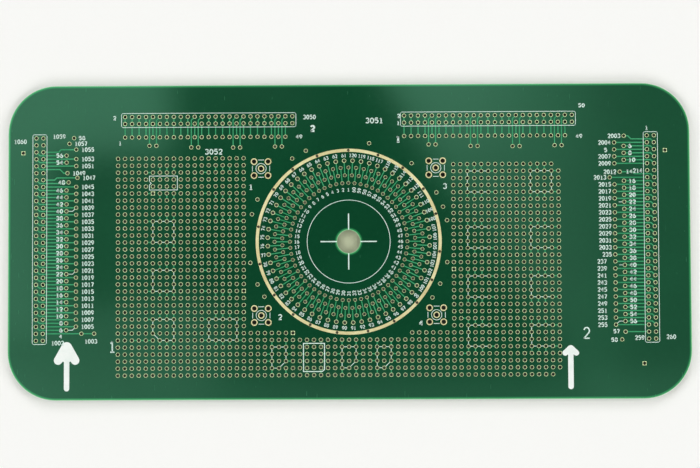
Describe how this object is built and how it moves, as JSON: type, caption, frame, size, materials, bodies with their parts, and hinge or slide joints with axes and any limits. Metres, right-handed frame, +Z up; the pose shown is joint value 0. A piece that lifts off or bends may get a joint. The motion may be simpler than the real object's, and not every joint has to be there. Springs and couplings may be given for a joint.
{
  "type": "bare circuit board",
  "caption": "Flat bare circuit board with rounded corners, plated hole grids, edge headers and a round pad-ring target in the middle.",
  "frame": {"origin": "middle of the underside, on the axis of the centre hole", "axes": "+X along the length towards the right-hand header, +Y along the width towards the two top headers, +Z up out of the printed front face"},
  "size_m": [0.2476, 0.1142, 0.0017],
  "materials": {
    "solder_mask": "gloss green solder mask over glass laminate",
    "plated_copper": "satin pale gold plating",
    "covered_tracks": "copper under gloss green mask",
    "printed_ink": "flat white printed ink"
  },
  "bodies": {
    "root": {"board": "solder_mask", "left_grid_pads": "plated_copper", "right_grid_pads": "plated_copper", "lower_grid_pads": "plated_copper", "outer_ring_pads": "plated_copper", "second_ring_pads": "plated_copper", "third_ring_pads": "plated_copper", "inner_ring_pads": "plated_copper", "guard_ring": "plated_copper", "ground_via_pads": "plated_copper", "square_pads": "plated_copper", "coax_pads_1": "plated_copper", "coax_pads_2": "plated_copper", "coax_pads_3": "plated_copper", "coax_pads_4": "plated_copper", "left_header_pads": "plated_copper", "right_header_pads": "plated_copper", "top_left_header_pads": "plated_copper", "top_right_header_pads": "plated_copper", "left_breakout_pads": "plated_copper", "right_breakout_pads": "plated_copper", "top_left_breakout_pads": "plated_copper", "top_right_breakout_pads": "plated_copper", "left_header_tracks": "covered_tracks", "right_header_tracks": "covered_tracks", "top_left_tracks": "covered_tracks", "top_right_tracks": "covered_tracks", "ring_tracks": "covered_tracks", "left_grid_tracks": "covered_tracks", "right_grid_tracks": "covered_tracks", "lower_grid_tracks": "covered_tracks", "left_header_outline": "printed_ink", "right_header_outline": "printed_ink", "top_left_outline": "printed_ink", "top_right_outline": "printed_ink", "left_jumper_marks": "printed_ink", "right_jumper_marks": "printed_ink", "target_mark": "printed_ink", "coax_outline_1": "printed_ink", "coax_outline_2": "printed_ink", "coax_outline_3": "printed_ink", "coax_outline_4": "printed_ink", "left_chip_outlines": "printed_ink", "right_chip_outlines": "printed_ink", "lower_chip_outlines": "printed_ink", "left_arrow": "printed_ink", "right_arrow": "printed_ink"}
  },
  "joints": []
}
